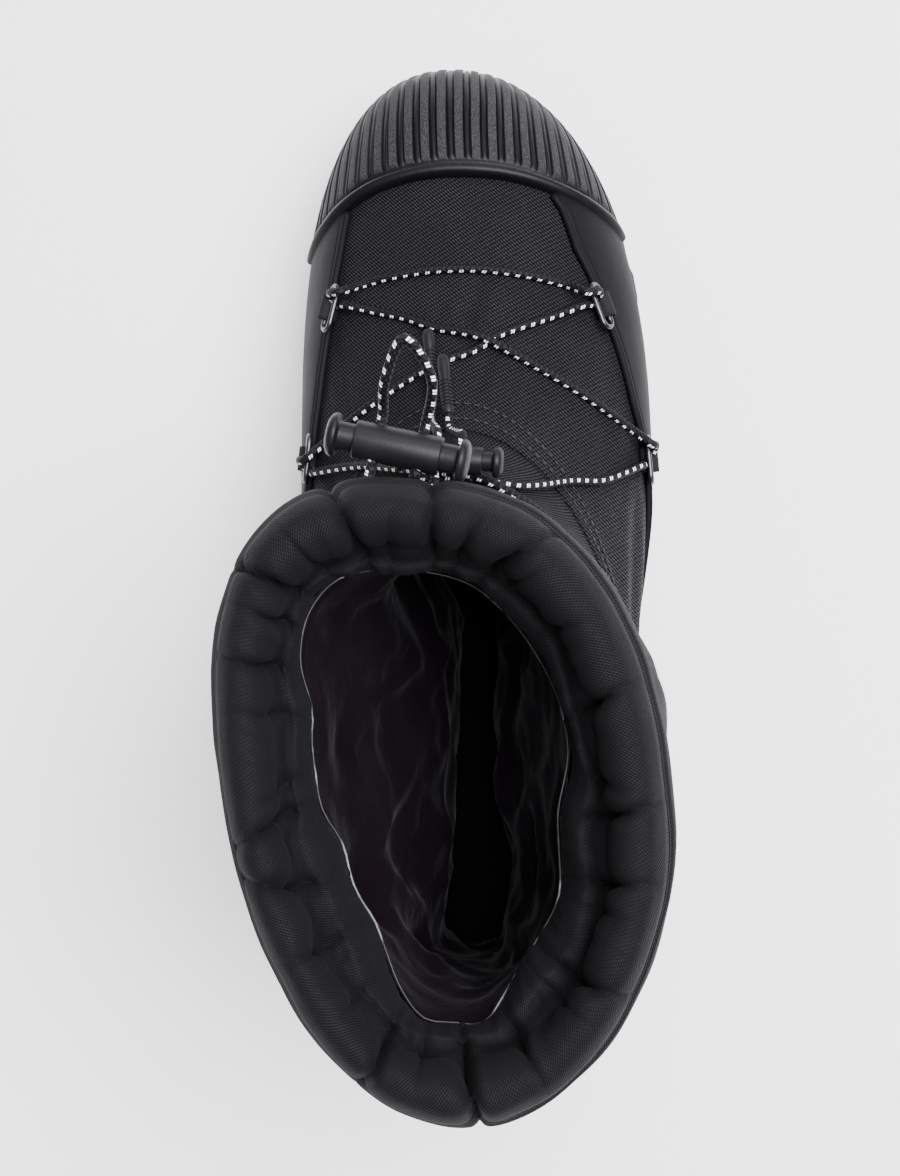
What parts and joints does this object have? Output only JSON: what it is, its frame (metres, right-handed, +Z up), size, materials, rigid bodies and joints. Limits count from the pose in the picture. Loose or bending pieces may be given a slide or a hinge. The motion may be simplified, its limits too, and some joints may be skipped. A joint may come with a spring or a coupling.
{
  "type": "apres ski boot",
  "caption": "Padded nylon apres ski boot for the right foot, with a ribbed toe cap, wire lace rings and a drawcord cuff.",
  "frame": {"origin": "middle of the heel's tread, on the floor", "axes": "+Z up, +Y towards the toe, +X towards the little toe side of the right foot"},
  "size_m": [0.1202, 0.305, 0.22],
  "materials": {
    "outsole": "matt black moulded rubber, fine stipple on the rim",
    "toe_cap": "black moulded rubber with smooth ribs and a rounded bead",
    "rand": "smooth coated cloth with a raw stitched edge",
    "upper": "black nylon, fine diagonal twill",
    "shaft": "black padded nylon twill, plum black shiny lining inside",
    "insole": "dark textile footbed",
    "cord": "braided round cord with paired light flecks",
    "wire": "dark gunmetal wire",
    "webbing": "narrow black webbing",
    "plastic": "matt black moulded plastic"
  },
  "bodies": {
    "boot": {"cuff": "shaft", "cuff_lock_barrel": "plastic", "drawcord": "cord", "insole": "insole", "lace_bar": "cord", "lace_cross_back": "cord", "lace_cross_front": "cord", "lace_end_lateral": "cord", "lace_end_medial": "cord", "lace_lock_barrel": "plastic", "lace_tip_lateral": "plastic", "lace_tip_medial": "plastic", "outsole": "outsole", "rand": "rand", "ring_1_lateral": "wire", "ring_1_medial": "wire", "ring_2_lateral": "wire", "ring_2_medial": "wire", "ring_3_lateral": "wire", "ring_3_medial": "wire", "ring_tab_1_lateral": "webbing", "ring_tab_1_medial": "webbing", "ring_tab_2_lateral": "webbing", "ring_tab_2_medial": "webbing", "ring_tab_3_lateral": "webbing", "ring_tab_3_medial": "webbing", "shaft": "shaft", "toe_cap": "toe_cap", "upper": "upper"},
    "cuff_button_lateral": {"cuff_lock_button_lateral": "plastic"},
    "cuff_button_medial": {"cuff_lock_button_medial": "plastic"},
    "lace_button_lateral": {"lace_lock_button_lateral": "plastic"},
    "lace_button_medial": {"lace_lock_button_medial": "plastic"}
  },
  "joints": [
    {"name": "cuff_button_lateral_press", "type": "slide", "parent": "boot", "child": "cuff_button_lateral", "axis": [-0.9774, 0.2113, 0], "range_m": [0, 0.0016], "stiffness_N_per_m": 400, "springref_m": -0.006},
    {"name": "cuff_button_medial_press", "type": "slide", "parent": "boot", "child": "cuff_button_medial", "axis": [0.9774, -0.2113, 0], "range_m": [0, 0.0016], "stiffness_N_per_m": 400, "springref_m": -0.006},
    {"name": "lace_button_lateral_press", "type": "slide", "parent": "boot", "child": "lace_button_lateral", "axis": [-0.9976, 0.0698, 0], "range_m": [0, 0.0016], "stiffness_N_per_m": 400, "springref_m": -0.006},
    {"name": "lace_button_medial_press", "type": "slide", "parent": "boot", "child": "lace_button_medial", "axis": [0.9976, -0.0698, 0], "range_m": [0, 0.0016], "stiffness_N_per_m": 400, "springref_m": -0.006}
  ]
}
